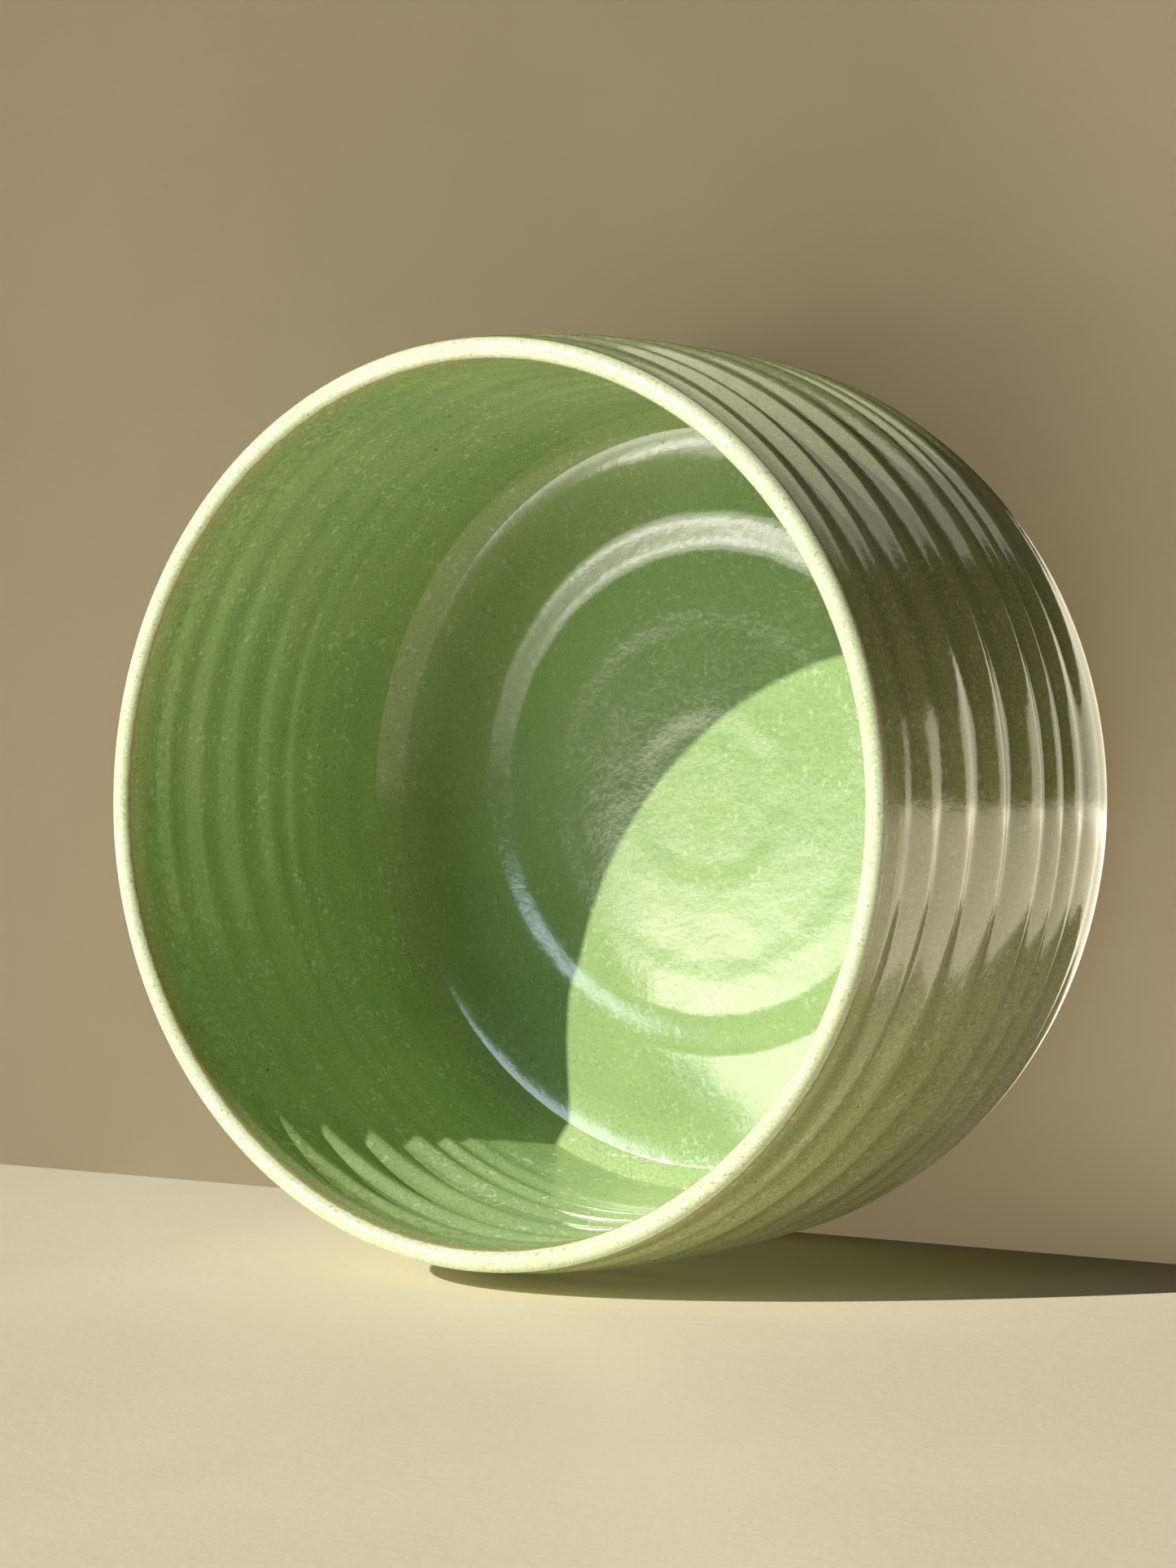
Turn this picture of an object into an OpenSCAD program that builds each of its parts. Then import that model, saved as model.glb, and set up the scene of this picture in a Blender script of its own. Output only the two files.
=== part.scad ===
// Wheel-thrown stoneware vase: a low, wide-mouthed pot with throwing ribs inside and out.
// Millimetres, +Z up through the mouth, the foot ring stands on z = 0, axis on the origin.
// The clay is one fired piece. Three fired glaze coats lie on it and meet edge to edge.

/* [Form] */
// Height from the foot ring to the top of the lip
height = 82; // [74:1:92]
// Diameter over the lip
rim_d = 140; // [132:1:146]
// Diameter at the fullest part of the belly
belly_d = 146.6; // [146:0.2:152]
// Height of the fullest part of the belly
belly_z = 24; // [20:1:30]

/* [Wall and floor] */
// Width of the rounded lip
lip_t = 3.4; // [2.8:0.1:4.6]
// Height of the floor inside the pot
floor_z = 12; // [10:0.5:14]
// Diameter inside the wall at its widest
bore_d = 134.4; // [132:0.2:135]
// Diameter where the wall folds into the cove
cove_d = 129.6; // [124:0.2:131]
// Height of the fold over the floor
cove_h = 7.5; // [5:0.5:10]
// Diameter of the level part of the floor
floor_d = 104; // [98:1:110]

/* [Foot] */
// Outer diameter of the foot ring
foot_d = 127; // [118:1:130]
// Height of the foot ring
foot_h = 3; // [2:0.5:4]
// Width of the foot ring
foot_w = 6; // [4:0.5:9]

/* [Throwing ribs] */
// Depth of a rib from crest to hollow, on the outside
rib_out = 0.95; // [0.2:0.05:1.2]
// Depth of a rib from crest to hollow, on the inside
rib_in = 0.95; // [0.2:0.05:1.2]
// How far the floor steps down inside the finger ring
floor_step = 0.9; // [0:0.1:1.2]

/* [Glaze] */
// Thickness of the fired glaze
glaze_t = 0.6; // [0.4:0.1:1]
// How far the lip's glaze band reaches down the outside
band_out = 2.4; // [2:0.1:6]
// How far the lip's glaze band reaches down the inside
band_in = 3.2; // [2.4:0.1:6]

/* [Hidden] */

$fn = 128;
rim_r = rim_d / 2;
belly_r = belly_d / 2;
bore_r = bore_d / 2;
floor_r = floor_d / 2;
cove_r = cove_d / 2;
cove_z = floor_z + cove_h;
foot_r = foot_d / 2;
lip_r = lip_t / 2;
lip_base_z = height - lip_r;
bore_lip_r = rim_r - lip_t;
// Height at which the lip's band ends inside
band_z = lip_base_z - band_in;

// The glaze stops on the turned shoulder just above the foot ring.
shoulder_rise = 0.5;
shoulder_out = 2;
shoulder_z = foot_h + shoulder_rise;
shoulder_r = foot_r + shoulder_out;
// Height at which the inside is widest, as a share of the pot's height
bore_share = 0.75;
bore_z = bore_share * height;
// The foot's edges are eased, and the recess under the floor has a soft corner.
ease = 0.8;
recess_corner = 2;

// Powers of the curves: the belly squares off an ellipse below, and the wall draws in towards the lip above.
// Inside, the wall leans in to the fold, and the cove squares off an ellipse down to the floor.
belly_square = 2.3;
wall_draw = 3;
bore_draw = 2;
bore_lean = 1.9;
cove_square = 2.8;

// Crests of the throwing ribs: height over the foot, and share of the full rib depth there
ribs_out = [
    [8, 0], [16.5, 0.15], [24, 0.5], [30.3, 0.7], [37.3, 0.8],
    [49.2, 0.95], [59.9, 1], [68.9, 1], [76.6, 0.3], [85, 0]
];
ribs_in = [
    [17, 0], [25.5, 0.05], [32.2, 0.2], [37.5, 0.4], [42.7, 0.7],
    [51.7, 0.9], [61.1, 1], [69.6, 0.9], [77.5, 0.2], [85.5, 0]
];
// Going up from a crest the wall eases back slowly, and steps out to the next crest in this share of the gap
rib_steep = 0.27;
// Flank of the finger ring on the floor: its middle as a radius, and its width
ring_r = 42.3;
ring_w = 7.5;

// Points along each stretch of the outline
belly_steps = 24;
wall_steps = 72;
lip_steps = 12;
bore_steps = 72;
cove_steps = 14;
floor_steps = 24;
corner_steps = 6;

function ramp(n, a, b) = [for (i = [0 : n]) a + (b - a) * i / n];
function swing(t) = 0.5 - 0.5 * cos(180 * t);

// Depth of the hollow between two crests, 0 on a crest and 1 at the deepest
function hollow(t) = t < 1 - rib_steep ? swing(t / (1 - rib_steep)) : swing((1 - t) / rib_steep);
function rib_below(z, crests) = max([for (i = [0 : len(crests) - 2]) crests[i][0] <= z ? i : 0]);
function rib_share(z, crests) =
    let (i = rib_below(z, crests), low = crests[i][0], high = crests[i + 1][0])
    lookup(z, crests) * hollow((z - low) / (high - low));
function rib(z, crests) = z < crests[0][0] ? 0 : rib_share(z, crests);

// Outer radius at a height
function belly_curve(z) = sqrt(1 - pow((belly_z - z) / (belly_z - shoulder_z), belly_square));
function wall_curve(z) = pow((z - belly_z) / (lip_base_z - belly_z), wall_draw);
function outer_form(z) =
    z < belly_z ? shoulder_r + (belly_r - shoulder_r) * belly_curve(z)
                : belly_r - (belly_r - rim_r) * wall_curve(z);
function outer_r(z) = outer_form(z) - rib_out * rib(z, ribs_out);

// Inner radius at a height on the wall, and the floor's height at a radius
function lean_curve(z) = pow((bore_z - z) / (bore_z - cove_z), bore_lean);
function bore_curve(z) = pow((z - bore_z) / (lip_base_z - bore_z), bore_draw);
function inner_form(z) =
    z < bore_z ? bore_r - (bore_r - cove_r) * lean_curve(z)
               : bore_r - (bore_r - bore_lip_r) * bore_curve(z);
function inner_r(z) = inner_form(z) - rib_in * rib_crest(z);
function rib_crest(z) = lookup(z, ribs_in) - rib(z, ribs_in);
function floor_at(r) = floor_z - floor_step * swing(min(1, max(0, 0.5 - (r - ring_r) / ring_w)));

// A point of the cove at an angle from the fold down to the floor
function cove_point(a) = [
    floor_r + (cove_r - floor_r) * pow(cos(a), 2 / cove_square),
    cove_z - (cove_z - floor_z) * pow(sin(a), 2 / cove_square)
];

// The glazed surface as one line from the foot's shoulder, over the lip, to the floor's middle
outside_line = concat(
    [for (a = ramp(belly_steps, 0, 90)) let (z = belly_z - (belly_z - shoulder_z) * cos(a)) [outer_r(z), z]],
    [for (i = [1 : wall_steps]) let (z = belly_z + (lip_base_z - band_out - belly_z) * i / wall_steps)
        [outer_r(z), z]]
);
lip_line = concat(
    [outside_line[len(outside_line) - 1]],
    [for (a = ramp(lip_steps, 0, 180)) [rim_r - lip_r + lip_r * cos(a), lip_base_z + lip_r * sin(a)]],
    [[inner_r(band_z), band_z]]
);
inside_line = concat(
    [lip_line[len(lip_line) - 1]],
    [for (i = [1 : bore_steps]) let (z = band_z + (cove_z - band_z) * i / bore_steps) [inner_r(z), z]],
    drop_first([for (a = ramp(cove_steps, 0, 90)) cove_point(a)]),
    [for (i = [1 : floor_steps]) let (r = floor_r * (1 - i / floor_steps)) [r, floor_at(r)]]
);
glaze_line = concat(outside_line, drop_first(lip_line), drop_first(inside_line));
function drop_first(line) = [for (i = [1 : len(line) - 1]) line[i]];

// The same line moved into the clay by the thickness of the glaze
function unit(v) = v / norm(v);
function along(line, i) = unit(line[min(i + 1, len(line) - 1)] - line[max(i - 1, 0)]);
function into_clay(line, i) = let (t = along(line, i)) [-t[1], t[0]];
function sunk(line, i) = line[i] + glaze_t * into_clay(line, i);
function clay_point(i) =
    i == 0 ? glaze_line[0] - [glaze_t, 0]
    : i == len(glaze_line) - 1 ? glaze_line[i] - [0, glaze_t]
    : sunk(glaze_line, i);
clay_line = [for (i = [0 : len(glaze_line) - 1]) clay_point(i)];

lip_start = len(outside_line) - 1;
lip_end = lip_start + len(lip_line) - 1;
line_end = len(glaze_line) - 1;

module coat(first, last) {
    skin = [for (i = [first : last]) glaze_line[i]];
    back = [for (i = [last : -1 : first]) clay_line[i]];
    rotate_extrude() polygon(concat(skin, back));
}

module foot_section() {
    recess_r = foot_r - foot_w;
    polygon(concat(
        [[0, foot_h]],
        [for (a = ramp(corner_steps, 90, 0))
            [recess_r, foot_h] + recess_corner * [cos(a) - 1, sin(a) - 1]],
        [[recess_r, ease], [recess_r + ease, 0], [foot_r - ease, 0], [foot_r, ease], [foot_r, foot_h]],
        [glaze_line[0]],
        clay_line
    ));
}

module clay_body() {
    color("#9c7f5f") rotate_extrude() foot_section();
}

module outside_glaze() {
    color("#6e7a3c") coat(0, lip_start);
}

module lip_glaze() {
    color("#dfe6ae") coat(lip_start, lip_end);
}

module inside_glaze() {
    color("#7fa04c") coat(lip_end, line_end);
}

clay_body();
outside_glaze();
lip_glaze();
inside_glaze();
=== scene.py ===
"""Looks of the wheel-thrown stoneware pot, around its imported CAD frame. Metres, Z up through the mouth."""

import math

import bmesh
import bpy
import numpy as np
from mathutils import Matrix, Vector


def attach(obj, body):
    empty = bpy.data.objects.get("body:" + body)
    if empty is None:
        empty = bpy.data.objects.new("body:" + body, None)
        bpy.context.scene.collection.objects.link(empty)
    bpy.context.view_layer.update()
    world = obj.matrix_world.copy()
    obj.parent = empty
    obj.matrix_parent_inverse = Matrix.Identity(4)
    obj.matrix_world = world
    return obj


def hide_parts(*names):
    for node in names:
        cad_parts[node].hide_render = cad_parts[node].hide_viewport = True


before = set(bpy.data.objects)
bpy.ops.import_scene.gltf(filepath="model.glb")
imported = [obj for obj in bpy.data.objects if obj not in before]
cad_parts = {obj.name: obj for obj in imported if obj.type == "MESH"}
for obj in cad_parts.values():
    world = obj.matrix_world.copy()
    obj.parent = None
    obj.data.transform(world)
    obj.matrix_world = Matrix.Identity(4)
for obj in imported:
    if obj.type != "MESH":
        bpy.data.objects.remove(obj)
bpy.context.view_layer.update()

MM = 0.001
TURN = 2 * math.pi

# Form, in millimetres over the foot and from the axis
HEIGHT = 82.0
RIM_R = 70.0
BELLY_R = 73.3
BELLY_Z = 24.0
LIP_T = 3.4
LIP_R = LIP_T / 2
LIP_BASE_Z = HEIGHT - LIP_R
SHOULDER_Z = 3.5
SHOULDER_R = 65.5
# How square the curves are, from the shoulder out to the belly and from the belly in to the lip
SHOULDER_POWER = 2.3
NECK_POWER = 3
# The lip's band of glaze reaches this far below the lip's round, outside and inside
BAND_OUT = 2.4
BAND_IN = 3.2
# Below 1 the lip's round is a little squared
LIP_SQUARE = 0.92
GLAZE_T = 0.6
# Each coat's hidden back lies this far behind its skin
GLAZE_BACK = GLAZE_T * 0.9
# The clay under a coat lies this much deeper than the coat is thick
CLAY_GAP = 0.05
FOOT_R = 63.5
FOOT_W = 6.0
FOOT_H = 3.0
FOOT_CORNER = 2.2
# The deepest marks that the turning tool left under the foot
TOOL_MARK = 0.06

# Crests of the throwing spiral where it is strongest, as heights, and how deep each turn is
CRESTS_OUT = [8.0, 16.5, 24.0, 30.3, 37.3, 49.2, 59.9, 68.9, 76.6, 85.0]
DEPTHS_OUT = [0.0, 0.15, 0.45, 0.75, 0.65, 1.0, 0.75, 0.95, 0.3, 0.0]
CRESTS_IN = [17.0, 25.5, 32.2, 37.5, 42.7, 51.7, 61.1, 69.6, 77.5, 85.5]
DEPTHS_IN = [0.0, 0.05, 0.2, 0.4, 0.7, 1.0, 1.15, 1.0, 0.3, 0.0]
# Share of each turn in which the wall steps out to the next crest
STEEP_OUT = 0.33
STEEP_IN = 0.42
# How much the ribs fade on the side away from their middle
FADE_OUT = 0.0
FADE_IN = 0.45
# The inner crests stand this far in from the inside's line
INSIDE_LEVEL = 0.25
# The inner ribs start at the first height and are full from the second
RIBS_FROM_Z = 16
RIBS_FULL_Z = 30
# Where round the pot the crests have just those heights
SPIRAL_MIDDLE_OUT = math.radians(233)
SPIRAL_MIDDLE_IN = math.radians(74)
# The patch under the lip where the outer ribs are wiped away: how much of them, the heights from which
# that starts and is full, how far in the wiped wall lies, and where it is around the pot
WIPED_SHARE = 0.9
WIPED_FROM_Z = 50.0
WIPED_FULL_Z = 66.0
WIPED_LEVEL = -0.42
WIPED_MIDDLE = math.radians(192)
WIPED_SPREAD = math.radians(24)

# The inside, from below the lip to the middle of the floor: radius and height
INNER_LINE = [
    (66.6, 80.3), (66.9, 73.0), (67.2, 62.0), (67.2, 52.0), (66.9, 43.0), (66.4, 35.0),
    (65.9, 28.0), (65.5, 22.5), (65.3, 19.5), (65.2, 17.5), (64.95, 16.1), (64.5, 15.15),
    (63.8, 14.45), (62.9, 13.93), (61.8, 13.52), (60.6, 13.2), (59.3, 12.93), (57.9, 12.72),
    (56.0, 12.56), (50.0, 12.4), (43.0, 12.3), (0.0, 12.0),
]
# Finger rings on the floor: radius of the rising flank, its width, its height, off-centre
FLOOR_RINGS = [(42.3, 7.5, 0.9, 2.4), (29.5, 5.0, 0.08, 0.6), (13.5, 5.0, 0.07, -0.3)]

# The rings fade out between these radii, before the cove
RINGS_EDGE_R = 60
RINGS_FULL_R = 52

# Meshes: points round the pot, spacing of rows in millimetres, and rows skipped where nothing shows
SEGMENTS = 360
INSIDE_STEP = 0.55
OUTSIDE_STEP = 0.42
FOOT_STEP = 0.45
BACK_ROW_SKIP = 12
CLAY_ROW_SKIP = 8
# Welding in metres, and the angle from which an edge is crisp
WELD = 2e-6
SHORTEST_EDGE = 1e-7
CRISP_FROM = math.radians(40)

# A glassy glaze mirrors more than plain glass
GLAZE_IOR = 1.7

# Lamps and camera, in metres
SUN_FROM = Vector((0.436, -0.463, 0.771))
SUN_SOFT = math.radians(0.6)
# Where most lamps aim
POT_MIDDLE = (0, 0, 0.04)
TABLE_GAP = 0.0002
TABLE_Y = BELLY_R * MM + TABLE_GAP
GLARE_Y = 0.072
STAGE_HALF = 2.5
CAMERA_PLACE = (-0.2804, -0.0080, 0.4814)
CAMERA_RIGHT = Vector((-0.8394, 0.0066, -0.5435))
CAMERA_UP = Vector((0.0, -0.99993, -0.0121))
# Focal length and sensor width, in millimetres
CAMERA_LENS = 75
CAMERA_SENSOR = 36


# ---- numbers and shapes ----

def smooth(a, b, x):
    """0 below a, 1 above b, and a smooth step between."""
    t = np.clip((x - a) / (b - a), 0.0, 1.0)
    return t * t * (3 - 2 * t)


def spline(points, count):
    """A smooth line through points, with count steps to each span (Catmull-Rom, centripetal)."""
    pts = np.array(points, float)
    ends = np.vstack([2 * pts[0] - pts[1], pts, 2 * pts[-1] - pts[-2]])
    line = []
    for i in range(1, len(ends) - 2):
        p0, p1, p2, p3 = ends[i - 1:i + 3]
        t0 = 0.0
        t1 = t0 + np.linalg.norm(p1 - p0) ** 0.5
        t2 = t1 + np.linalg.norm(p2 - p1) ** 0.5
        t3 = t2 + np.linalg.norm(p3 - p2) ** 0.5
        for t in np.linspace(t1, t2, count, endpoint=False):
            a1 = (t1 - t) / (t1 - t0) * p0 + (t - t0) / (t1 - t0) * p1
            a2 = (t2 - t) / (t2 - t1) * p1 + (t - t1) / (t2 - t1) * p2
            a3 = (t3 - t) / (t3 - t2) * p2 + (t - t2) / (t3 - t2) * p3
            b1 = (t2 - t) / (t2 - t0) * a1 + (t - t0) / (t2 - t0) * a2
            b2 = (t3 - t) / (t3 - t1) * a2 + (t - t1) / (t3 - t1) * a3
            line.append((t2 - t) / (t2 - t1) * b1 + (t - t1) / (t2 - t1) * b2)
    line.append(pts[-1])
    return np.array(line)


def even(line, step):
    """The same line with points step apart."""
    gaps = np.linalg.norm(np.diff(line, axis=0), axis=1)
    at = np.concatenate([[0], np.cumsum(gaps)])
    n = max(2, int(round(at[-1] / step)) + 1)
    new = np.linspace(0, at[-1], n)
    return np.column_stack([np.interp(new, at, line[:, k]) for k in range(line.shape[1])])


def outer_form(z):
    """Outer radius without ribs at a height."""
    low = np.clip((BELLY_Z - z) / (BELLY_Z - SHOULDER_Z), 0, 1)
    high = np.clip((z - BELLY_Z) / (LIP_BASE_Z - BELLY_Z), 0, 1)
    below = SHOULDER_R + (BELLY_R - SHOULDER_R) * np.sqrt(1 - low ** SHOULDER_POWER)
    above = BELLY_R - (BELLY_R - RIM_R) * high ** NECK_POWER
    return np.where(z < BELLY_Z, below, above)


def rib(z, angle, crests, depths, middle, share, fade):
    """Height of the throwing spiral, from -depth in the hollow to 0 on the crest, and the same from 0 to 1.

    Going up from a crest the surface eases back slowly and then steps out quickly to the next crest.
    """
    turn = ((angle - middle) / TURN + 0.5) % 1.0 - 0.5
    w = np.interp(z, crests, np.arange(len(crests))) + turn
    w = w + 0.05 * np.sin(2 * angle + 1.3) + 0.03 * np.sin(5 * angle + TURN * w)
    t = 1 - w % 1.0
    steep = t / share
    slow = 1 + (t - share) / (1 - share)
    hollow = 0.5 - 0.5 * np.cos(math.pi * np.where(t < share, steep, slow))
    depth = np.interp(z, crests, depths)
    depth = depth * (1 + 0.1 * np.sin(3 * angle + TURN * w))
    depth = depth * (1 - fade + fade * np.cos(angle - middle))
    return -depth * hollow, 1 - hollow


def rib_outside(z, angle):
    """The ribs on the outer wall, wiped nearly smooth by the hand in one patch under the lip."""
    lift, crest = rib(z, angle, CRESTS_OUT, DEPTHS_OUT, SPIRAL_MIDDLE_OUT, STEEP_OUT, FADE_OUT)
    wiped = WIPED_SHARE * smooth(WIPED_FROM_Z, WIPED_FULL_Z, z)
    wiped = wiped * np.exp(-((angle - WIPED_MIDDLE) / WIPED_SPREAD) ** 2)
    level = WIPED_LEVEL * smooth(HEIGHT, WIPED_FULL_Z, z)
    return lift * (1 - wiped) + level * wiped, crest


def rib_inside(z, angle):
    """The ribs on the inner wall, which fade on the side away from their middle."""
    return rib(z, angle, CRESTS_IN, DEPTHS_IN, SPIRAL_MIDDLE_IN, STEEP_IN, FADE_IN)


def ring_height(x, y):
    """Steps that the fingers left on the floor, in millimetres: it dips in rings towards the middle."""
    h = np.zeros_like(x)
    for radius, width, height, off in FLOOR_RINGS:
        r = np.hypot(x, y + off)
        h = h - height * smooth(radius + width / 2, radius - width / 2, r)
    return h


def wobble(z, angle):
    """The small out-of-round of a hand-thrown wall, in millimetres."""
    share = z / HEIGHT
    return 0.14 * share * np.sin(2 * angle + 0.7) + 0.06 * np.sin(3 * angle + 2.1 + 2 * share)


# ---- meshes of revolution ----

def normals_of(line):
    """Unit normals to the right of each point of a line of (radius, height)."""
    t = np.gradient(line, axis=0)
    t = t / np.linalg.norm(t, axis=1)[:, None]
    return np.column_stack([t[:, 1], -t[:, 0]])


def shell(name, skin, back, places, marks):
    """A closed body of revolution from the skin's rows and the back's rows.

    places gives x, y, z in millimetres for a row and all angles. marks gives named values for each point.
    """
    rows = [(p, True) for p in skin] + [(p, False) for p in back[::-1]]
    angle = np.arange(SEGMENTS) * TURN / SEGMENTS
    verts = []
    values = {}
    for p, front in rows:
        xyz, found = places(p, angle, front)
        verts.append(xyz)
        for key in marks:
            values.setdefault(key, []).append(found[key])
    co = np.concatenate(verts) * MM
    n = len(rows)
    i = np.arange(n)[:, None] * SEGMENTS
    j = ((np.arange(n) + 1) % n)[:, None] * SEGMENTS
    k = np.arange(SEGMENTS)[None, :]
    k2 = (k + 1) % SEGMENTS
    quads = np.stack([i + k, i + k2, j + k2, j + k], axis=-1).reshape(-1, 4)
    mesh = bpy.data.meshes.new(name)
    mesh.from_pydata(co.tolist(), [], quads.tolist())
    mesh.validate()
    mesh.polygons.foreach_set("use_smooth", [True] * len(mesh.polygons))
    for key in marks:
        layer = mesh.attributes.new(key, "FLOAT", "POINT")
        layer.data.foreach_set("value", np.concatenate(values[key]).astype(np.float32))
    mesh.update()
    ob = bpy.data.objects.new(name, mesh)
    bpy.context.scene.collection.objects.link(ob)
    weld_and_face_out(ob)
    return ob


def weld_and_face_out(ob):
    """Joins the points that meet on the axis, turns every face outwards and keeps sharp edges crisp."""
    bm = bmesh.new()
    bm.from_mesh(ob.data)
    bmesh.ops.remove_doubles(bm, verts=bm.verts, dist=WELD)
    bmesh.ops.dissolve_degenerate(bm, dist=SHORTEST_EDGE, edges=bm.edges)
    bmesh.ops.recalc_face_normals(bm, faces=bm.faces)
    for e in bm.edges:
        if len(e.link_faces) == 2 and e.calc_face_angle(0) > CRISP_FROM:
            e.smooth = False
    bm.to_mesh(ob.data)
    bm.free()


def turned(r, z, angle):
    """Points at radius r and height z around the axis."""
    return np.column_stack([r * np.cos(angle), r * np.sin(angle), z * np.ones_like(angle)])


def outside_point(z, angle, sink):
    """The outer wall at a height, with its ribs, moved in by sink."""
    lift, crest = rib_outside(z, angle)
    r = outer_form(z) + lift + wobble(z, angle) - sink
    return r, crest


def inside_point(r0, z, nr, nz, angle, sink):
    """The inner surface at a point of its line, with ribs on the wall and rings on the floor."""
    lift, crest = rib_inside(z, angle)
    wall = smooth(RIBS_FROM_Z, RIBS_FULL_Z, z)
    r = r0 + (-lift - INSIDE_LEVEL) * wall + wobble(z, angle) * wall + sink * nr
    x = r * np.cos(angle)
    y = r * np.sin(angle)
    zz = z + ring_height(x, y) * smooth(RINGS_EDGE_R, RINGS_FULL_R, r) + sink * nz
    return x, y, zz * np.ones_like(angle), crest


def lip_rows():
    """The lip's outline as (share along it, radius, height), from outside over the top to inside."""
    z0 = LIP_BASE_Z - BAND_OUT
    z1 = LIP_BASE_Z - BAND_IN
    out = [(outer_form(z), z) for z in np.linspace(z0, LIP_BASE_Z, 9)[:-1]]
    arc = []
    for a in np.linspace(0, math.pi, 25):
        c, s = math.cos(a), math.sin(a)
        c = math.copysign(abs(c) ** LIP_SQUARE, c)
        s = abs(s) ** LIP_SQUARE
        arc.append((RIM_R - LIP_R + LIP_R * c, LIP_BASE_Z + LIP_R * s))
    into = [(inner_r(z), z) for z in np.linspace(LIP_BASE_Z, z1, 11)[1:]]
    line = np.array([(float(r), float(z)) for r, z in out + arc + into])
    gaps = np.linalg.norm(np.diff(line, axis=0), axis=1)
    share = np.concatenate([[0], np.cumsum(gaps)]) / gaps.sum()
    return np.column_stack([share, line])


def inner_curve():
    """The inside's line in small even steps, from the lip band down to the middle of the floor."""
    return even(spline(INNER_LINE, 16), INSIDE_STEP)


INNER = inner_curve()


def inner_r(z):
    """Inner radius at a height on the wall."""
    order = np.argsort(INNER[:, 1])
    return np.interp(z, INNER[order, 1], INNER[order, 0])


def make_outside_glaze():
    """The olive glaze on the outside, with a rounded wavy lower edge and the throwing spiral."""
    top = LIP_BASE_Z - BAND_OUT
    zs = np.concatenate([np.linspace(SHOULDER_Z, 12, 30), np.arange(12.4, top, OUTSIDE_STEP), [top]])
    coarse = np.concatenate([[SHOULDER_Z], np.linspace(8, top, 14)])

    def edge(angle):
        return 0.25 * np.sin(4 * angle) + 0.18 * np.sin(9 * angle + 1) + 0.1 * np.sin(17 * angle + 2)

    def places(z, angle, front):
        sink = 0.0 if front else GLAZE_BACK
        r, crest = outside_point(z, angle, sink)
        near = float(smooth(10.0, SHOULDER_Z, z))
        bead = GLAZE_T * (1 - math.sqrt(max(0.0, 1 - max(0.0, 1 - (z - SHOULDER_Z) / 0.6) ** 2)))
        r = r - (bead * 0.7 if front else 0.0)
        height = z + near * edge(angle)
        low = np.full_like(angle, z - SHOULDER_Z)
        return turned(r, height, angle), {"crest": crest, "along": low}

    return shell("outside_glaze_coat", list(zs), list(coarse), places, ["crest", "along"])


def make_lip_glaze():
    """The pale band over the rounded lip."""
    rows = lip_rows()
    norm = normals_of(rows[:, 1:])
    span = list(range(len(rows)))
    coarse = [0, 4, 8, 12, 16, 20, 24, 28, 32, 36, len(rows) - 1]

    def places(i, angle, front):
        share, r, z = rows[i]
        sink = 0.0 if front else -GLAZE_BACK
        nr, nz = norm[i]
        inner_end = smooth(0.62, 1.0, share)
        outer_end = 1 - smooth(0.0, 0.3, share)
        lift_o, _ = rib_outside(z, angle)
        lift_i, _ = rib_inside(z, angle)
        rr = r + nr * sink + wobble(z, angle) + lift_o * outer_end
        rr = rr + (-lift_i - INSIDE_LEVEL) * inner_end
        top = 0.07 * np.sin(2 * angle + 0.4) + 0.04 * np.sin(5 * angle)
        up = smooth(LIP_BASE_Z - 1, HEIGHT, z)
        height = z + nz * sink + top * up
        return turned(rr, height, angle), {"along": np.full_like(angle, share)}

    return shell("lip_glaze_band", span, coarse, places, ["along"])


def make_inside_glaze():
    """The green glaze inside: ribbed wall, fold, cove and ringed floor."""
    z1 = LIP_BASE_Z - BAND_IN
    keep = INNER[INNER[:, 1] < z1 - 0.1]
    line = np.vstack([[inner_r(z1), z1], keep])
    line[-1, 0] = 0.0
    norm = normals_of(line)
    norm[-1] = (0.0, 1.0)
    gaps = np.linalg.norm(np.diff(line, axis=0), axis=1)
    far = np.concatenate([[0], np.cumsum(gaps)])
    rows = list(range(len(line)))
    coarse = sorted(set(list(range(0, len(line), BACK_ROW_SKIP)) + [len(line) - 1]))

    def places(i, angle, front):
        r, z = line[i]
        nr, nz = norm[i]
        sink = 0.0 if front else GLAZE_BACK
        x, y, zz, crest = inside_point(r, z, -nr, -nz, angle, sink)
        if i == len(line) - 1:
            zz = zz * 0 + zz.mean()
        return np.column_stack([x, y, zz]), {"crest": crest, "along": np.full_like(angle, far[i])}

    return shell("inside_glaze_coat", rows, coarse, places, ["crest", "along"])


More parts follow.
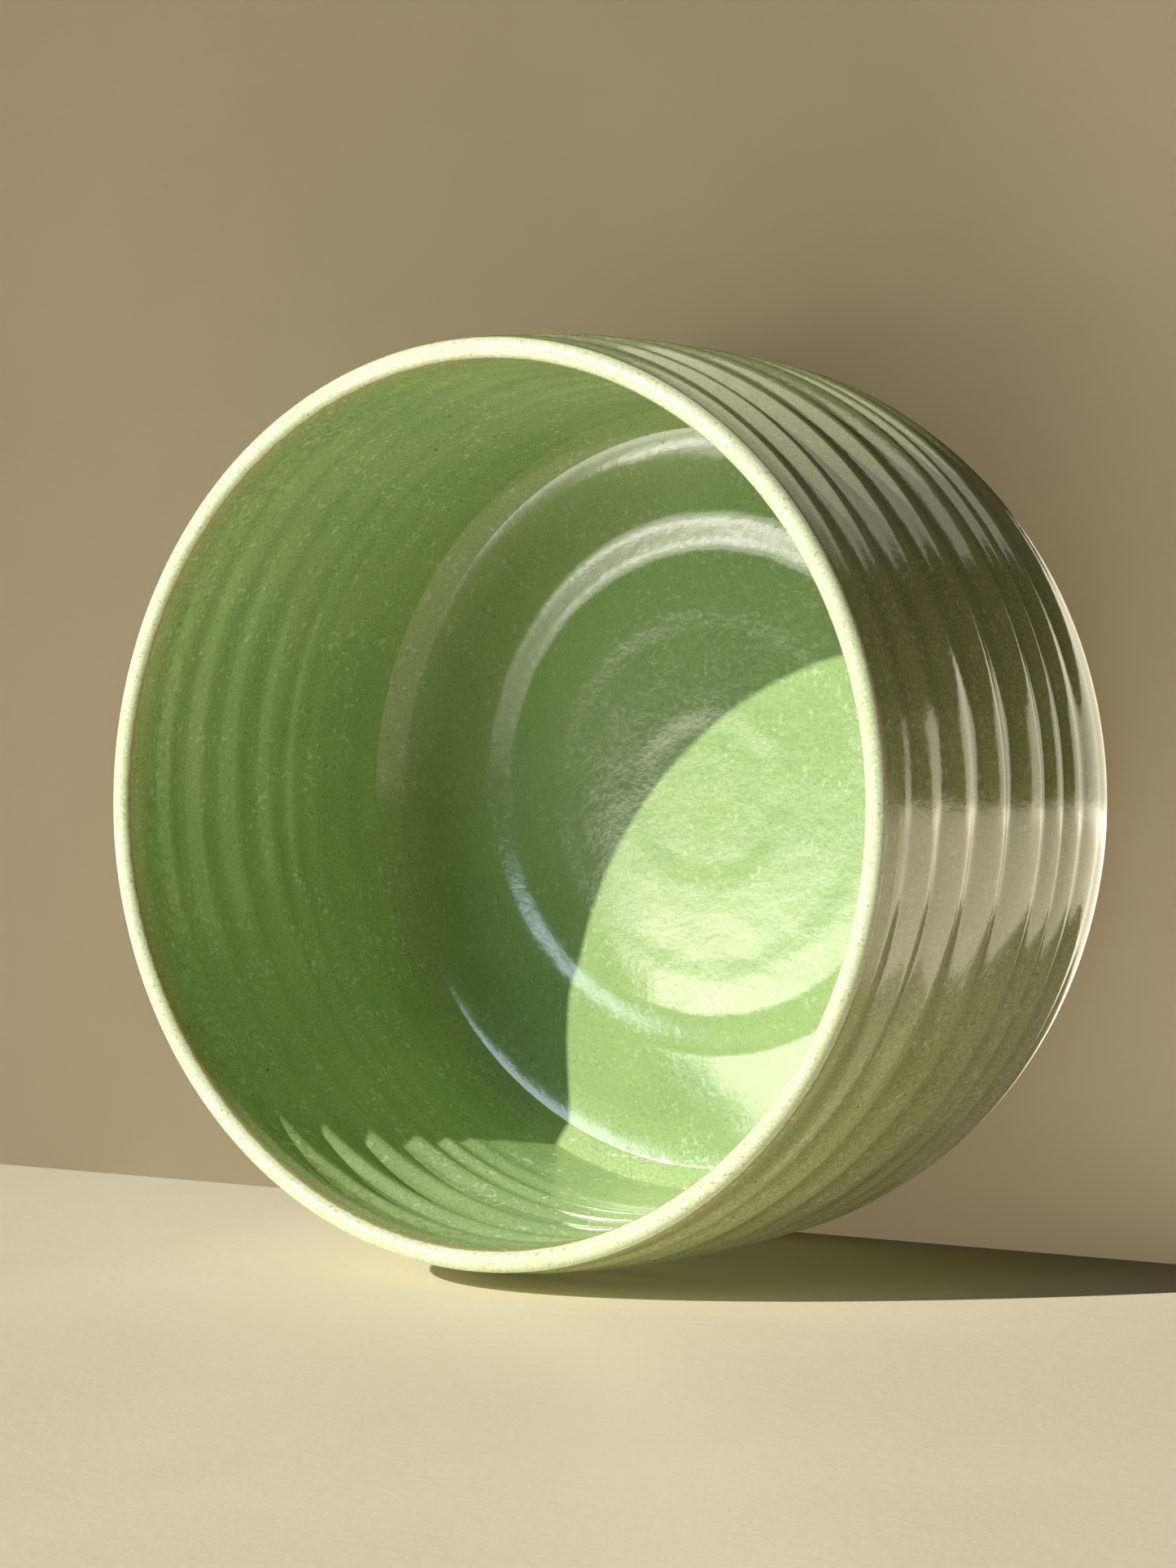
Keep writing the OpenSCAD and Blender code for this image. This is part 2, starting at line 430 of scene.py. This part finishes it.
def make_clay_body():
    """The fired clay: turned foot ring and recess, and the wall hidden under the glaze."""
    hide = GLAZE_T + CLAY_GAP
    recess = FOOT_R - FOOT_W
    under = [(0.0, FOOT_H + 0.15), (20.0, FOOT_H + 0.1), (recess - 4.0, FOOT_H)]
    corner = [
        (recess - FOOT_CORNER + FOOT_CORNER * math.sin(a), FOOT_H - FOOT_CORNER + FOOT_CORNER * math.cos(a))
        for a in np.linspace(0, math.pi / 2, 10)
    ]
    ring = [
        (recess + 0.1, 0.55), (recess + 0.35, 0.2), (recess + 0.9, 0.0), (recess + 3.0, 0.0),
        (FOOT_R - 1.0, 0.0), (FOOT_R - 0.45, 0.12), (FOOT_R - 0.1, 0.5), (FOOT_R, 1.0),
        (FOOT_R, FOOT_H - 0.6), (FOOT_R + 0.2, FOOT_H - 0.1), (FOOT_R + 0.7, FOOT_H + 0.1),
        (SHOULDER_R - hide, SHOULDER_Z - 0.3), (SHOULDER_R - hide + 0.1, SHOULDER_Z),
    ]
    foot = even(np.array(under + corner + ring), FOOT_STEP)
    walls = [(z, "out") for z in np.concatenate([np.linspace(4.2, 12, 8), np.linspace(14, LIP_BASE_Z, 24)])]
    over = [(a, "lip") for a in np.linspace(0, math.pi, 9)]
    inner = INNER[(INNER[:, 1] < LIP_BASE_Z - 1.0) & (INNER[:, 0] > 1.0)][::CLAY_ROW_SKIP]
    inner = np.vstack([inner, [0.0, INNER[-1, 1]]])
    norm = normals_of(inner)
    norm[-1] = (0.0, 1.0)
    inside = [((r, z, nr, nz), "in") for (r, z), (nr, nz) in zip(inner, norm)]
    rows = [((r, z), "foot") for r, z in foot] + walls + over + inside

    def foot_point(r, z, angle):
        flat = 1.0 if z > FOOT_H - 0.4 and r < recess - 1.5 else 0.0
        tool = TOOL_MARK * np.sin(r * 2.1 + angle) * flat * smooth(0.0, 4.0, r)
        return turned(r, z + tool - TOOL_MARK * flat, angle)

    def places(row, angle, front):
        p, kind = row
        if kind == "foot":
            return foot_point(p[0], p[1], angle), {}
        if kind == "out":
            r, _ = outside_point(p, angle, hide)
            return turned(r, p, angle), {}
        if kind == "lip":
            lip = LIP_R - hide
            r = RIM_R - LIP_R + lip * math.cos(p) + wobble(LIP_BASE_Z, angle)
            return turned(r, LIP_BASE_Z + lip * math.sin(p), angle), {}
        r, z, nr, nz = p
        x, y, zz, _ = inside_point(r, z, -nr, -nz, angle, hide)
        if r == 0.0:
            zz = zz * 0 + zz.mean()
        return np.column_stack([x, y, zz]), {}

    return shell("clay_body_turned", rows, [], places, [])


# ---- materials ----

def srgb(r, g, b):
    """A colour given as 0 to 255 in sRGB, as linear values."""
    def lin(c):
        c = c / 255
        return c / 12.92 if c <= 0.04045 else ((c + 0.055) / 1.055) ** 2.4
    return (lin(r), lin(g), lin(b), 1.0)


class Nodes:
    """Short calls for building one material's node tree."""

    def __init__(self, name):
        self.mat = bpy.data.materials.new(name)
        self.mat.use_nodes = True
        self.tree = self.mat.node_tree
        self.tree.nodes.clear()
        self.place = self.add("ShaderNodeTexCoord").outputs["Object"]

    def add(self, kind, **values):
        node = self.tree.nodes.new(kind)
        for key, value in values.items():
            setattr(node, key, value)
        return node

    def link(self, a, b):
        self.tree.links.new(a, b)

    def put(self, socket, value):
        if isinstance(value, bpy.types.NodeSocket):
            self.link(value, socket)
        else:
            socket.default_value = value

    def noise(self, scale, detail=2.0, rough=0.5):
        n = self.add("ShaderNodeTexNoise")
        self.link(self.place, n.inputs["Vector"])
        n.inputs["Scale"].default_value = scale
        n.inputs["Detail"].default_value = detail
        n.inputs["Roughness"].default_value = rough
        return n.outputs["Fac"]

    def cells(self, scale):
        n = self.add("ShaderNodeTexVoronoi")
        self.link(self.place, n.inputs["Vector"])
        n.inputs["Scale"].default_value = scale
        return n.outputs["Distance"]

    def from_axis(self):
        flat = self.add("ShaderNodeMapping")
        self.link(self.place, flat.inputs["Vector"])
        flat.inputs["Scale"].default_value = (1, 1, 0)
        far = self.add("ShaderNodeVectorMath", operation="LENGTH")
        self.link(flat.outputs["Vector"], far.inputs[0])
        return far.outputs["Value"]

    def value_of(self, name):
        return self.add("ShaderNodeAttribute", attribute_name=name).outputs["Fac"]

    def math(self, kind, a, b=0.0):
        n = self.add("ShaderNodeMath", operation=kind)
        self.put(n.inputs[0], a)
        self.put(n.inputs[1], b)
        return n.outputs[0]

    def band(self, value, low, high, to_low=0.0, to_high=1.0):
        n = self.add("ShaderNodeMapRange", interpolation_type="SMOOTHSTEP")
        self.put(n.inputs["Value"], value)
        n.inputs["From Min"].default_value = low
        n.inputs["From Max"].default_value = high
        n.inputs["To Min"].default_value = to_low
        n.inputs["To Max"].default_value = to_high
        return n.outputs[0]

    def mix(self, share, a, b, kind="MIX"):
        n = self.add("ShaderNodeMix", data_type="RGBA", blend_type=kind)
        self.put(n.inputs[0], share)
        self.put(n.inputs[6], a)
        self.put(n.inputs[7], b)
        return n.outputs[2]

    def bump(self, height, distance, strength=1.0, under=None):
        n = self.add("ShaderNodeBump")
        self.put(n.inputs["Height"], height)
        n.inputs["Distance"].default_value = distance
        n.inputs["Strength"].default_value = strength
        if under is not None:
            self.link(under, n.inputs["Normal"])
        return n.outputs[0]

    def finish(self, colour, rough, normal, level=0.5, ior=1.5):
        p = self.add("ShaderNodeBsdfPrincipled")
        out = self.add("ShaderNodeOutputMaterial")
        self.put(p.inputs["Base Color"], colour)
        self.put(p.inputs["Roughness"], rough)
        p.inputs["IOR"].default_value = ior
        p.inputs["Specular IOR Level"].default_value = level
        self.link(normal, p.inputs["Normal"])
        self.link(p.outputs[0], out.inputs[0])
        return self.mat


def glaze_speckle(n, base, pale, dark, deep, amount=1.0, flecks=0.4):
    """Cloudy colour, pale crystals, fine grain and rare iron specks of a stoneware glaze."""
    cloud = n.noise(45, 3, 0.55)
    colour = n.mix(n.band(cloud, 0.3, 0.72), deep, base)
    grain = n.noise(2300, 2, 0.6)
    colour = n.mix(n.math("MULTIPLY", n.band(grain, 0.36, 0.68), 0.42 * amount), colour, pale)
    crystal = n.band(n.noise(900, 2, 0.55), 0.56, 0.68)
    cluster = n.band(n.noise(160, 2, 0.5), 0.4, 0.6)
    fleck = n.math("MULTIPLY", crystal, cluster)
    colour = n.mix(n.math("MULTIPLY", fleck, flecks), colour, srgb(222, 234, 206))
    pits = n.band(n.noise(1500, 1, 0.5), 0.36, 0.28)
    colour = n.mix(n.math("MULTIPLY", pits, 0.35 * amount), colour, dark)
    speck = n.band(n.cells(210), 0.085, 0.05)
    few = n.band(n.noise(130, 1, 0.5), 0.54, 0.6)
    return n.mix(n.math("MULTIPLY", n.math("MULTIPLY", speck, few), 0.75), colour, dark)


def glaze_skin(n, peel=1.0):
    """The glaze's surface: a slow orange-peel swell with fine pin-prick grain over it."""
    swell = n.bump(n.noise(170, 2, 0.5), 0.00006 * peel)
    swell = n.bump(n.noise(1000, 2, 0.55), 0.000016 * peel, under=swell)
    return n.bump(n.noise(2600, 2, 0.6), 0.000007 * peel, under=swell)


def glaze_gloss(n, glossiest, dullest):
    """Roughness of a glaze, a little uneven."""
    return n.band(n.noise(900, 2, 0.6), 0.3, 0.75, glossiest, dullest)


def inside_glaze_material():
    """Glossy leaf green, darker where it pools and paler where it breaks over the ribs."""
    n = Nodes("glaze_leaf_green")
    colour = glaze_speckle(
        n, base=srgb(165, 187, 122), pale=srgb(196, 216, 178),
        dark=srgb(88, 100, 60), deep=srgb(144, 172, 112), flecks=0.6,
    )
    crest = n.value_of("crest")
    colour = n.mix(n.band(crest, 0.55, 1.0, 0.0, 0.07), colour, srgb(196, 210, 156))
    colour = n.mix(n.band(crest, 0.4, 0.0, 0.0, 0.07), colour, srgb(112, 142, 78))
    far = n.value_of("along")
    colour = n.mix(n.band(far, 60.0, 74.0, 0.0, 0.55), colour, srgb(122, 152, 92))
    mottle = n.math("MULTIPLY", n.band(n.noise(620, 3, 0.65), 0.45, 0.62), n.band(far, 13.0, 3.0))
    colour = n.mix(n.math("MULTIPLY", mottle, 0.35), colour, srgb(104, 128, 66))
    near_lip = n.band(far, 1.6, 0.0)
    colour = n.mix(n.math("MULTIPLY", near_lip, 0.4), colour, srgb(170, 176, 112))
    return n.finish(colour, glaze_gloss(n, 0.09, 0.17), glaze_skin(n), ior=GLAZE_IOR)


def outside_glaze_material():
    """The same glaze, a little browner outside: partly its own tone, partly painted shade of a dim warm
    brown room. A finer grain.
    """
    n = Nodes("glaze_olive_green")
    # Base and deep tones greyer and browner than inside: partly the glaze's own tone, partly painted shade
    # of a dim warm room
    colour = glaze_speckle(
        n, base=srgb(158, 168, 116), pale=srgb(200, 208, 164),
        dark=srgb(92, 88, 52), deep=srgb(144, 152, 100), amount=1.15,
    )
    crest = n.value_of("crest")
    colour = n.mix(n.band(crest, 0.6, 1.0, 0.0, 0.22), colour, srgb(184, 186, 128))
    colour = n.mix(n.band(crest, 0.4, 0.0, 0.0, 0.22), colour, srgb(98, 108, 58))
    low = n.value_of("along")
    colour = n.mix(n.band(low, 1.1, 0.2, 0.0, 0.7), colour, srgb(150, 104, 60))
    colour = n.mix(n.band(low, 5.0, 1.2, 0.0, 0.35), colour, srgb(150, 148, 92))
    return n.finish(colour, glaze_gloss(n, 0.09, 0.17), glaze_skin(n, 0.9), ior=GLAZE_IOR)


def lip_glaze_material():
    """Pale cream-green over the lip, with thin toasted lines where the glaze breaks at its two edges."""
    n = Nodes("glaze_pale_lip")
    along = n.value_of("along")
    pale = glaze_speckle(
        n, base=srgb(196, 210, 172), pale=srgb(224, 234, 208),
        dark=srgb(138, 132, 88), deep=srgb(182, 198, 154), amount=1.4,
    )
    olive = glaze_speckle(
        n, base=srgb(150, 164, 104), pale=srgb(190, 200, 150),
        dark=srgb(92, 84, 46), deep=srgb(136, 150, 90), amount=0.9,
    )
    ragged = n.math("MULTIPLY", n.math("SUBTRACT", n.noise(420, 3, 0.6), 0.5), 0.06)
    at = n.math("ADD", along, ragged)
    inner = n.band(at, 0.66, 0.70)
    outer = n.band(at, 0.24, 0.19)
    colour = n.mix(n.math("MULTIPLY", inner, 0.85), pale, olive)
    colour = n.mix(n.math("MULTIPLY", outer, 0.9), colour, olive)
    toast = srgb(158, 112, 62)
    in_line = n.math("MULTIPLY", n.band(at, 0.615, 0.655), n.band(at, 0.70, 0.665))
    out_line = n.math("MULTIPLY", n.band(at, 0.19, 0.225), n.band(at, 0.27, 0.235))
    colour = n.mix(n.math("MULTIPLY", in_line, 0.75), colour, toast)
    colour = n.mix(n.math("MULTIPLY", out_line, 0.75), colour, toast)
    return n.finish(colour, glaze_gloss(n, 0.16, 0.28), glaze_skin(n, 1.1))


def clay_material():
    """Buff stoneware with iron specks, turning marks and a toasted edge."""
    n = Nodes("clay_buff_stoneware")
    cloud = n.noise(60, 4, 0.6)
    colour = n.mix(n.band(cloud, 0.3, 0.7), srgb(176, 142, 104), srgb(194, 164, 126))
    grit = n.noise(1800, 3, 0.65)
    colour = n.mix(n.band(grit, 0.4, 0.7, 0.0, 0.4), colour, srgb(214, 190, 154))
    speck = n.band(n.cells(330), 0.16, 0.1)
    few = n.band(n.noise(240, 1, 0.5), 0.5, 0.58)
    colour = n.mix(n.math("MULTIPLY", n.math("MULTIPLY", speck, few), 0.8), colour, srgb(84, 56, 36))
    xyz = n.add("ShaderNodeSeparateXYZ")
    n.link(n.place, xyz.inputs[0])
    toast = n.band(xyz.outputs["Z"], 0.0012, 0.0036, 0.0, 0.45)
    colour = n.mix(toast, colour, srgb(170, 112, 66))
    rough = n.band(grit, 0.3, 0.7, 0.72, 0.92)
    lines = n.add("ShaderNodeTexNoise", noise_dimensions="1D")
    n.put(lines.inputs["W"], n.math("MULTIPLY", n.from_axis(), 1400))
    lines.inputs["Scale"].default_value = 1.0
    lines.inputs["Detail"].default_value = 3.0
    normal = n.bump(lines.outputs["Fac"], 0.00012)
    normal = n.bump(grit, 0.00008, under=normal)
    return n.finish(colour, rough, normal, 0.35)


def stage_material(name, low, high, see_through_back, gloss=0.6):
    """Plain matt pale paper with the faintest unevenness. The table's back can be looked through."""
    n = Nodes(name)
    colour = n.mix(n.band(n.noise(9, 4, 0.6), 0.3, 0.7), low, high)
    normal = n.bump(n.noise(380, 3, 0.6), 0.00006)
    mat = n.finish(colour, gloss, normal, 0.5)
    if see_through_back:
        shader = next(x for x in n.tree.nodes if x.type == "BSDF_PRINCIPLED")
        out = next(x for x in n.tree.nodes if x.type == "OUTPUT_MATERIAL")
        clear = n.add("ShaderNodeBsdfTransparent")
        swap = n.add("ShaderNodeMixShader")
        n.link(n.add("ShaderNodeNewGeometry").outputs["Backfacing"], swap.inputs[0])
        n.link(shader.outputs[0], swap.inputs[1])
        n.link(clear.outputs[0], swap.inputs[2])
        n.link(swap.outputs[0], out.inputs[0])
    return mat


# ---- stage, light and camera ----

def sheet(name, corners, mat):
    """A flat four-sided piece of the stage."""
    mesh = bpy.data.meshes.new(name)
    mesh.from_pydata(corners, [], [(0, 1, 2, 3)])
    mesh.update()
    ob = bpy.data.objects.new(name, mesh)
    ob.data.materials.append(mat)
    bpy.context.scene.collection.objects.link(ob)
    return ob


def make_floor():
    """A pale floor under the foot, which the pot neither mirrors nor takes light from."""
    wide = STAGE_HALF
    corners = [(-wide, -wide, 0), (wide, -wide, 0), (wide, wide, 0), (-wide, wide, 0)]
    paper = stage_material("floor_paper", srgb(196, 184, 158), srgb(203, 191, 166), False)
    ground = sheet("floor", corners, paper)
    ground.visible_glossy = False
    ground.visible_diffuse = False
    ground.visible_shadow = False
    return ground


def make_table():
    """The pale table against the side that the pot lies on, seen from the pot's side only."""
    wide = STAGE_HALF
    y = TABLE_Y
    corners = [(-wide, y, 0), (wide, y, 0), (wide, y, wide), (-wide, y, wide)]
    paper = stage_material("table_paper", srgb(236, 226, 200), srgb(243, 234, 210), True, 0.5)
    board = sheet("table", corners, paper)
    board.visible_shadow = False
    return board


def make_table_beyond():
    """The rest of the table below the foot's level, which the outer wall mirrors."""
    wide = STAGE_HALF
    y = TABLE_Y
    corners = [(-wide, y, -wide), (wide, y, -wide), (wide, y, 0), (-wide, y, 0)]
    paper = stage_material("far_paper", srgb(246, 238, 220), srgb(250, 243, 226), True)
    far = sheet("table_beyond", corners, paper)
    far.visible_shadow = False
    far.visible_diffuse = False
    return far


def aim(ob, towards):
    """Turns a lamp so that it shines along a direction."""
    ob.rotation_euler = Vector(towards).to_track_quat("-Z", "Y").to_euler()


def link_light(lamp, pieces, state):
    """Lets a lamp light only some pieces of the stage (INCLUDE), or everything but those (EXCLUDE)."""
    chosen = bpy.data.collections.new("linked_to_" + lamp.name)
    lamp.light_linking.receiver_collection = chosen
    for piece in pieces:
        chosen.objects.link(piece)
    for entry in chosen.collection_objects:
        entry.light_linking.link_state = state


def make_sun(name, strength):
    """A key light, low over the table from the left of the picture."""
    lamp = bpy.data.lights.new(name, "SUN")
    lamp.energy = strength
    lamp.angle = SUN_SOFT
    lamp.color = (1.0, 0.94, 0.86)
    ob = bpy.data.objects.new(name, lamp)
    bpy.context.scene.collection.objects.link(ob)
    aim(ob, -SUN_FROM)
    return ob


def make_softbox(name, place, target, width, height, power, colour):
    """A soft rectangular lamp that the camera doesn't see."""
    lamp = bpy.data.lights.new(name, "AREA")
    lamp.shape = "RECTANGLE"
    lamp.size = width
    lamp.size_y = height
    lamp.energy = power
    lamp.color = colour
    ob = bpy.data.objects.new(name, lamp)
    ob.location = place
    ob.visible_camera = False
    bpy.context.scene.collection.objects.link(ob)
    aim(ob, Vector(target) - Vector(place))
    return ob


def make_world(colour, strength):
    """Soft room light all round."""
    world = bpy.data.worlds.new("room")
    world.use_nodes = True
    shade = world.node_tree.nodes["Background"]
    shade.inputs[0].default_value = colour
    shade.inputs[1].default_value = strength
    bpy.context.scene.world = world


def make_keys(ground, far):
    """The crisp warm key, and a stronger one for the far table that the outer wall mirrors."""
    key = make_sun("key", 5.2)
    link_light(key, [ground], "EXCLUDE")
    key_beyond = make_sun("key_beyond", 12.0)
    link_light(key_beyond, [far], "INCLUDE")


def make_window(ground):
    """A small cool window high beside the key."""
    window = make_softbox(
        "window", place=(0.36, -0.27, 1.05), target=POT_MIDDLE,
        width=0.28, height=0.28, power=1.5, colour=(0.7, 0.85, 1.0),
    )
    link_light(window, [ground], "EXCLUDE")


def make_glare(ground):
    """Two warm lamps on the table's plane, where a sunlit table throws the sun back into the mouth."""
    for name, x, z, width, height, power in (
        ("glare", 0.33, 0.51, 0.16, 0.3, 1.1),
        ("glare_near", 0.15, 0.27, 0.11, 0.17, 0.2),
    ):
        lamp = make_softbox(name, (x, GLARE_Y, z), (x, -1, z), width, height, power, (1.0, 0.93, 0.88))
        link_light(lamp, [ground], "EXCLUDE")


def make_rear_light(ground, board):
    """Two broad lamps behind the foot, which streak the outer wall."""
    behind = make_softbox(
        "behind", place=(-0.3, -0.05, -1.0), target=(-0.3, -0.05, 0),
        width=1.1, height=0.4, power=2.4, colour=(1.0, 0.94, 0.7),
    )
    back_top = make_softbox(
        "back_top", place=(-0.1, -1.0, -0.75), target=POT_MIDDLE,
        width=1.2, height=0.5, power=2.0, colour=(1.0, 0.96, 0.76),
    )
    for lamp in (behind, back_top):
        link_light(lamp, [ground, board], "EXCLUDE")


def make_fill(ground):
    """A fill from behind the table, and a wash over the floor only."""
    make_softbox(
        "fill", place=(-0.1, 1.0, 0.4), target=POT_MIDDLE,
        width=0.7, height=0.7, power=2.8, colour=(1.0, 0.93, 0.8),
    )
    wash = make_softbox(
        "wash", place=(-1.0, -0.35, 0.5), target=(-0.4, -0.1, 0),
        width=0.5, height=0.5, power=6.0, colour=(1.0, 0.94, 0.82),
    )
    link_light(wash, [ground], "INCLUDE")
    wash.data.use_shadow = False


def make_light(ground, board, far):
    """All the lamps, around the stage's three sheets."""
    make_world(srgb(120, 104, 78), 0.17)
    make_keys(ground, far)
    make_window(ground)
    make_glare(ground)
    make_rear_light(ground, board)
    make_fill(ground)


def make_camera():
    """The photograph's view: in front of the mouth, turned about a third of a right angle off the axis."""
    cam = bpy.data.cameras.new("camera")
    cam.lens = CAMERA_LENS
    cam.sensor_width = CAMERA_SENSOR
    cam.clip_start = 0.01
    cam.clip_end = 20
    ob = bpy.data.objects.new("camera", cam)
    back = CAMERA_RIGHT.cross(CAMERA_UP).normalized()
    up = back.cross(CAMERA_RIGHT).normalized()
    turn = Matrix((CAMERA_RIGHT.normalized(), up, back)).transposed().to_4x4()
    ob.matrix_world = Matrix.Translation(CAMERA_PLACE) @ turn
    bpy.context.scene.collection.objects.link(ob)
    bpy.context.scene.camera = ob


def set_colours():
    """Plain display of colours, as a camera's picture."""
    view = bpy.context.scene.view_settings
    view.view_transform = "Standard"
    view.look = "None"
    view.exposure = 0.0


def dress(ob, mat, node):
    """One finished piece in place of its CAD solid."""
    ob.data.materials.append(mat)
    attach(ob, "root")
    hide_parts(node)


make_light(make_floor(), make_table(), make_table_beyond())
make_camera()
set_colours()
dress(make_clay_body(), clay_material(), "clay_body")
dress(make_outside_glaze(), outside_glaze_material(), "outside_glaze")
dress(make_lip_glaze(), lip_glaze_material(), "lip_glaze")
dress(make_inside_glaze(), inside_glaze_material(), "inside_glaze")
